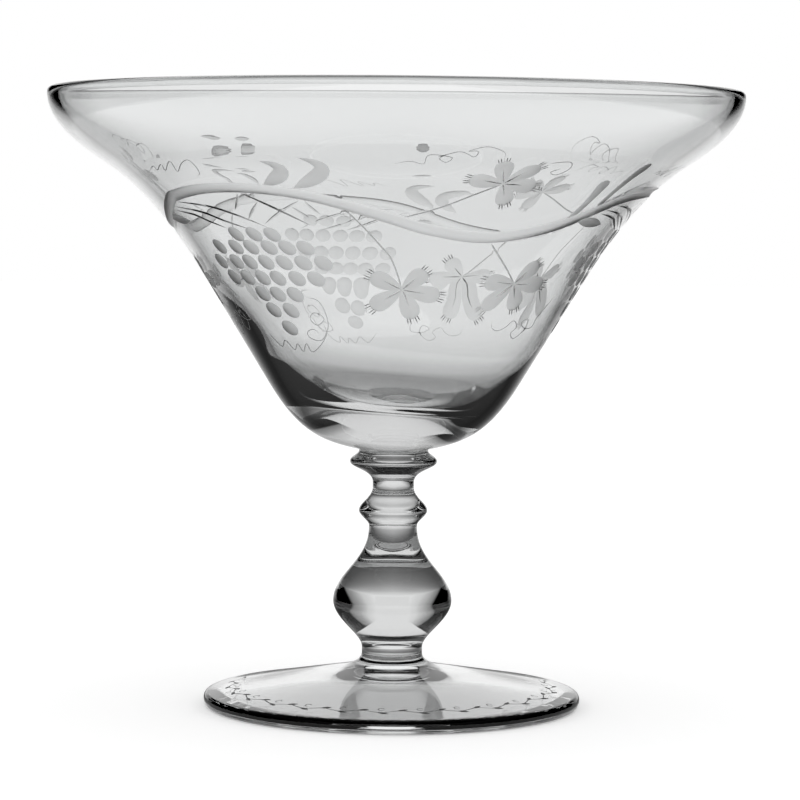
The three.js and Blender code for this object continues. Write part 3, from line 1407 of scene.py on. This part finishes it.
@dataclass
class Bowl(TurnedGlass):
    """The flared bowl, with a thick solid base, an upturned lip and the engraving.

    Attributes:
        height: The height above the seat, as every height here.
        floor_height: The height of the inner floor.
        floor_corner_rise: How far over the floor its round corner starts.
        floor_lean: How much the floor falls for each millimetre to the right and to the back.
        lean_heights: The heights between which the lean fades out.
        seat_slope: The run and rise of the outside at the seat.
        flare_slope: The run and rise where the flare meets the lip.
    """

    height: float = 113.7
    rim_radius: float = 110.0
    wall: float = 3.5
    seat_radius: float = 11.1
    cone_foot_radius: float = 39.7
    cone_foot_height: float = 20.8
    cone_top_radius: float = 61.3
    cone_top_height: float = 56.3
    flare_radius: float = 90.6
    flare_height: float = 89.4
    floor_height: float = 16.5
    floor_radius: float = 28.0
    floor_corner_rise: float = 14.0
    floor_lean: tuple[float, float] = (math.tan(math.radians(4.3)), math.tan(math.radians(-3.6)))
    lean_heights: tuple[float, float] = (32.0, 54.0)
    seat_slope: tuple[float, float] = (1, 0.22)
    flare_slope: tuple[float, float] = (1.5, 1)
    base_fullness: Fullness = (0.4, 0.66)
    flare_fullness: Fullness = (0.3, 0.47)
    lip_fullness: Fullness = (0.32, 0.43)
    corner_fullness: Fullness = (0.38, 0.24)
    cone_steps: int = 20
    floor_steps: int = 4

    def outside(self) -> Outline:
        """Draws the outside, from the seat up to the start of the lip's rounding.

        Returns:
            The points, without repeats.
        """
        seat = at(self.seat_radius, 0)
        cone_foot = at(self.cone_foot_radius, self.cone_foot_height)
        cone_top = at(self.cone_top_radius, self.cone_top_height)
        flare = at(self.flare_radius, self.flare_height)
        lip = at(self.rim_radius, self.height - self.wall / 2)
        cone = (cone_top - cone_foot).normalized()
        outwards = slope(*self.flare_slope)
        base_reach = self.cone_foot_radius - self.seat_radius
        flare_reach = self.flare_height - self.cone_top_height
        lip_reach = self.height - self.flare_height
        return without_repeats([
            *curve(seat, slope(*self.seat_slope), cone_foot, cone, base_reach, self.base_fullness),
            *[cone_foot.lerp(cone_top, i / self.cone_steps) for i in range(self.cone_steps)],
            *curve(cone_top, cone, flare, outwards, flare_reach, self.flare_fullness),
            *curve(flare, outwards, lip, UPRIGHT, lip_reach, self.lip_fullness),
        ])

    def inside(self, outside: Outline) -> Outline:
        """Moves the outside in by the wall, as far as the floor's corner, and draws the floor.

        Args:
            outside: The outline of the outside.

        Returns:
            The outline from the lip down to the axis.
        """
        moved = [
            point + Vector((-along.z, 0, along.x)) * self.wall
            for point, along in zip(outside, directions(outside))
        ]
        corner_height = self.floor_height + self.floor_corner_rise
        wall = [point for point in reversed(moved) if point.z > corner_height]
        below = max((point for point in moved if point.z <= corner_height), key=lambda point: point.z)
        share = (corner_height - below.z) / (wall[-1].z - below.z)
        corner = below.lerp(wall[-1], share)
        down = (corner - wall[-1]).normalized()
        floor_middle = at(0, self.floor_height)
        floor_edge = at(self.floor_radius, self.floor_height)
        corner_reach = corner.x - self.floor_radius
        return [
            *wall,
            *curve(corner, down, floor_edge, INWARD, corner_reach, self.corner_fullness),
            *[floor_edge.lerp(floor_middle, (i + 1) / self.floor_steps) for i in range(self.floor_steps)],
        ]

    def turn(self) -> bmesh.types.BMesh:
        """Turns the bowl and lets its inner floor lean, as it does in glass that is worked by hand.

        Returns:
            The closed mesh, in metres.
        """
        mesh = super().turn()
        outer = TurnedSurface(self.outside())
        low, high = self.lean_heights
        for vert in mesh.verts:
            height = vert.co.z / METRES_PER_MM - self.seat
            radius = vert.co.xy.length / METRES_PER_MM
            if height > self.wall and radius < outer.section(outer.along(height))[0].x - self.wall / 2:
                fade = min(1, max(0, (high - height) / (high - low)))
                fade *= fade * (3 - 2 * fade)
                vert.co.z -= fade * vert.co.xy.dot(Vector(self.floor_lean))
        return mesh

    def profile(self) -> Outline:
        """Draws the bowl's whole outline: seat, outside, rounded lip and inside.

        Returns:
            The points, from the axis up the outside and back to the axis.
        """
        outside = self.outside()
        rounding = self.wall / 2
        lip = arc(at(self.rim_radius - rounding, self.height - rounding), rounding, 0, 2)
        return [at(0, 0), *outside, *lip, *self.inside(outside)[1:]]

    def joints(self) -> list[tuple[float, float]]:
        """The seat."""
        return [(0, self.seat_radius)]

    def engrave(self, piece: bpy.types.Object) -> None:
        """Cuts the grapevine into the outside.

        Args:
            piece: The uncut bowl.
        """
        engraver = Engraver(TurnedSurface([point + at(0, self.seat) for point in self.outside()]))
        for cut in GrapevineBand().cuts(engraver.surface):
            engraver.add(cut)
        engraver.carve(piece)


@dataclass(frozen=True)
class Card:
    """A card of graded light that stands about the bowl, and that only the glass sees.

    Attributes:
        name: The card's name.
        stops: The depth behind the bowl's axis and the light there, at floor level in the middle.
        corners: The corners of an upright or level card. The round floor card, whose dark ring about the
            foot is painted shadow of the glass on the floor, has none.
        narrowing: How much further back the same light lies for each metre to the side.
        rising: How much further back the same light lies for each metre of height.
        floor_card_radii: The radius of the floor card's hole, which the foot stands in, and of its edge.
        floor_card_height: How far the floor card of painted shadow lies above the floor.
        facets: The number of sides of the round floor card.
    """

    name: str
    stops: Stops
    corners: tuple[Triple, ...] = ()
    narrowing: float = 0.0
    rising: float = 0.0
    floor_card_radii: tuple[float, float] = (0.062, 6.0)
    floor_card_height: float = 0.0006
    facets: int = 96

    def shape(self) -> bmesh.types.BMesh:
        """Cuts the card out.

        Returns:
            The card, or the round floor card of painted shadow where it has no corners.
        """
        mesh = bmesh.new()
        if self.corners:
            bmesh.ops.contextual_create(mesh, geom=[mesh.verts.new(corner) for corner in self.corners])
            return mesh
        inner, outer = self.floor_card_radii
        bmesh.ops.create_circle(mesh, segments=self.facets, radius=inner)
        made = bmesh.ops.extrude_edge_only(mesh, edges=mesh.edges[:])["geom"]
        edge = [item for item in made if isinstance(item, bmesh.types.BMVert)]
        bmesh.ops.scale(mesh, verts=edge, vec=[outer / inner] * 3)
        bmesh.ops.translate(mesh, verts=mesh.verts[:], vec=(0, 0, self.floor_card_height))
        return mesh

    def light(self) -> bpy.types.Material:
        """Makes the material, whose light changes along the card's own Y, to both sides and upwards.

        Returns:
            The material.
        """
        paint = Paint(self.name)
        place = paint.nodes.new("ShaderNodeTexCoord")
        where = paint.nodes.new("ShaderNodeSeparateXYZ")
        paint.join(place.outputs["Object"], where.inputs["Vector"])
        aside = paint.maths("ABSOLUTE", where.outputs["X"])
        depth = paint.maths("MULTIPLY_ADD", aside, -self.narrowing, where.outputs["Y"])
        upward = paint.maths("MULTIPLY_ADD", where.outputs["Z"], -self.rising, depth)
        nearest, farthest = self.stops[0][0], self.stops[-1][0]
        share = paint.nodes.new("ShaderNodeMapRange")
        share.inputs["From Min"].default_value = nearest
        share.inputs["From Max"].default_value = farthest
        paint.join(upward, share.inputs["Value"])
        tones = [((place_y - nearest) / (farthest - nearest), (light,) * 3) for place_y, light in self.stops]
        glow = paint.nodes.new("ShaderNodeEmission")
        paint.join(paint.graded(share.outputs["Result"], tones), glow.inputs["Color"])
        paint.shine(glow, "Emission")
        return paint.material

    def hang(self, camera: bpy.types.Object) -> bpy.types.Object:
        """Puts the card in place.

        Args:
            camera: The camera, whose heading the card follows.

        Returns:
            The card.
        """
        card = add_object(self.name, self.shape())
        card.data.materials.append(self.light())
        card.visible_camera = False
        card.visible_diffuse = False
        card.visible_shadow = False
        follow = card.constraints.new("COPY_ROTATION")
        follow.target = camera
        follow.use_x = False
        follow.use_y = False
        return card


@dataclass(frozen=True)
class Studio:
    """A white room with dark cards about the glass, which draw its dark edges.

    Attributes:
        half_width: The distance of the cards at both sides from the axis.
        card_height: Their height, at which the card overhead lies.
        card_front: Where they start, and where the card before the glass stands.
        card_back: Where they end, behind the glass.
        narrowing: How much further back the same light lies for each metre to the side.
        rising: How much further back it lies on the cards at both sides for each metre of height.
        floor_drop: How far the floor lies under the foot, so that the two don't touch.
        floor_glow: The floor's own light, seen by the camera and the glass, which makes it white.
    """

    half_width: float = 0.4
    card_height: float = 0.4
    card_front: float = -1.6
    card_back: float = 2.0
    left_light: Stops = (
        (-1.0, 0.08), (-0.3, 0.0), (0.37, 0.0), (0.45, 0.3), (0.67, 0.6), (0.97, 0.88), (1.75, 1.08),
    )
    right_light: Stops = (
        (-1.0, 0.08), (-0.3, 0.0), (0.37, 0.0), (0.45, 0.3), (0.67, 0.5), (0.97, 0.85), (1.75, 1.08),
    )
    top_light: Stops = ((-0.4, 0.0), (-0.1, 0.06), (0.0, 0.15), (0.1, 0.5), (0.2, 0.85), (0.3, 1.0))
    # The floor card's light: dark about the foot and to its sides as painted shadow of the glass on the
    # floor, pale further away.
    floor_light: Stops = (
        (-0.3, 1.0), (-0.15, 0.7), (-0.08, 0.35), (0.0, 0.1), (0.05, 0.12), (0.1, 0.24),
        (0.2, 0.48), (0.3, 0.62), (0.5, 0.86), (1.0, 1.0), (1.6, 1.08),
    )
    front_light: Stops = ((-2.0, 0.08), (0.0, 0.08))
    narrowing: float = 0.8
    rising: float = 1.8
    camera_distance: float = 0.98811
    camera_height: float = 0.15635
    camera_side: float = 0.0019
    camera_pitch: float = math.radians(3.403)
    camera_roll: float = math.radians(0.5)
    lens: float = 140.0
    sensor_width: float = 36.0
    floor_radius: float = 6.0
    floor_facets: int = 128
    floor_drop: float = 0.0001
    floor_tone: float = 0.85
    floor_glow: float = 0.3

    def camera(self) -> bpy.types.Object:
        """Sets the camera where the photographer stood, a little under the level of the rim.

        Returns:
            The camera.
        """
        camera = bpy.data.objects.new("camera", bpy.data.cameras.new("camera"))
        camera.data.lens = self.lens
        camera.data.sensor_width = self.sensor_width
        camera.data.clip_start = 0.01
        place = Matrix.Translation((self.camera_side, -self.camera_distance, self.camera_height))
        pitch = Matrix.Rotation(math.pi / 2 - self.camera_pitch, 4, "X")
        roll = Matrix.Rotation(self.camera_roll, 4, "Z")
        camera.matrix_world = place @ pitch @ roll
        bpy.context.scene.collection.objects.link(camera)
        bpy.context.scene.camera = camera
        return camera

    def cards(self) -> list[Card]:
        """Lists the cards at both sides, over the glass, before it and on the floor.

        Returns:
            The cards.
        """
        side, top = self.half_width, self.card_height
        near, far = self.card_front, self.card_back
        left = ((-side, near, 0), (-side, far, 0), (-side, far, top), (-side, near, top))
        right = ((side, near, 0), (side, far, 0), (side, far, top), (side, near, top))
        overhead = ((-side, near, top), (side, near, top), (side, far, top), (-side, far, top))
        before = ((-side, near, 0), (side, near, 0), (side, near, top), (-side, near, top))
        return [
            Card("left_card", self.left_light, left, rising=self.rising),
            Card("right_card", self.right_light, right, rising=self.rising),
            Card("top_card", self.top_light, overhead, self.narrowing),
            Card("front_card", self.front_light, before),
            # The floor card paints the glass's shadow on the floor, darkest about the foot, and only the
            # glass sees it.
            Card("floor_shadow_card", self.floor_light, narrowing=self.narrowing),
        ]

    def floor(self) -> bpy.types.Object:
        """Lays the pale floor.

        Returns:
            The floor.
        """
        mesh = bmesh.new()
        bmesh.ops.create_circle(mesh, cap_ends=True, segments=self.floor_facets, radius=self.floor_radius)
        bmesh.ops.translate(mesh, verts=mesh.verts[:], vec=(0, 0, -self.floor_drop))
        floor = add_object("floor", mesh)
        paint = Paint("floor")
        shader = paint.shader
        shader.inputs["Roughness"].default_value = 1
        shader.inputs["Specular IOR Level"].default_value = 0
        shader.inputs["Base Color"].default_value = (self.floor_tone, self.floor_tone, self.floor_tone, 1)
        shader.inputs["Emission Color"].default_value = (1, 1, 1, 1)
        path = paint.nodes.new("ShaderNodeLightPath")
        seen = paint.maths("MAXIMUM", path.outputs["Is Camera Ray"], path.outputs["Is Transmission Ray"])
        shown = paint.maths("MAXIMUM", seen, path.outputs["Is Glossy Ray"])
        paint.join(paint.maths("MULTIPLY", shown, self.floor_glow), shader.inputs["Emission Strength"])
        floor.data.materials.append(paint.material)
        return floor

    def world(self) -> None:
        """Fills the room with plain white light."""
        world = bpy.data.worlds.new("room")
        bpy.context.scene.world = world
        world.use_nodes = True
        world.node_tree.nodes["Background"].inputs["Color"].default_value = (1, 1, 1, 1)
        world.node_tree.nodes["Background"].inputs["Strength"].default_value = 1

    def build(self) -> None:
        """Sets up the camera, the light and the floor."""
        camera = self.camera()
        self.world()
        for card in self.cards():
            card.hang(camera)
        self.floor()
        bpy.context.scene.view_settings.view_transform = "Standard"


def main() -> None:
    """Builds the studio and every piece of the bowl."""
    logging.basicConfig(level=logging.INFO, format="%(message)s")
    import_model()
    Studio().build()
    finishes = GlassFinishes()
    foot = Foot("engraved_foot", "foot", "engraved_glass", 0, 256)
    baluster = BalusterKnop("stem_baluster", "baluster_knop", "clear_glass", foot.height, 160)
    ring = RingKnop("stem_ring", "ring_knop", "clear_glass", baluster.seat + baluster.height, 128)
    merese = Merese("bowl_merese", "merese", "clear_glass", ring.seat + ring.height, 128)
    bowl = Bowl("engraved_bowl", "bowl", "engraved_glass", merese.seat + merese.height, 240)
    for piece in (foot, baluster, ring, merese, bowl):
        piece.build(finishes)


if __name__ == "__main__":
    main()
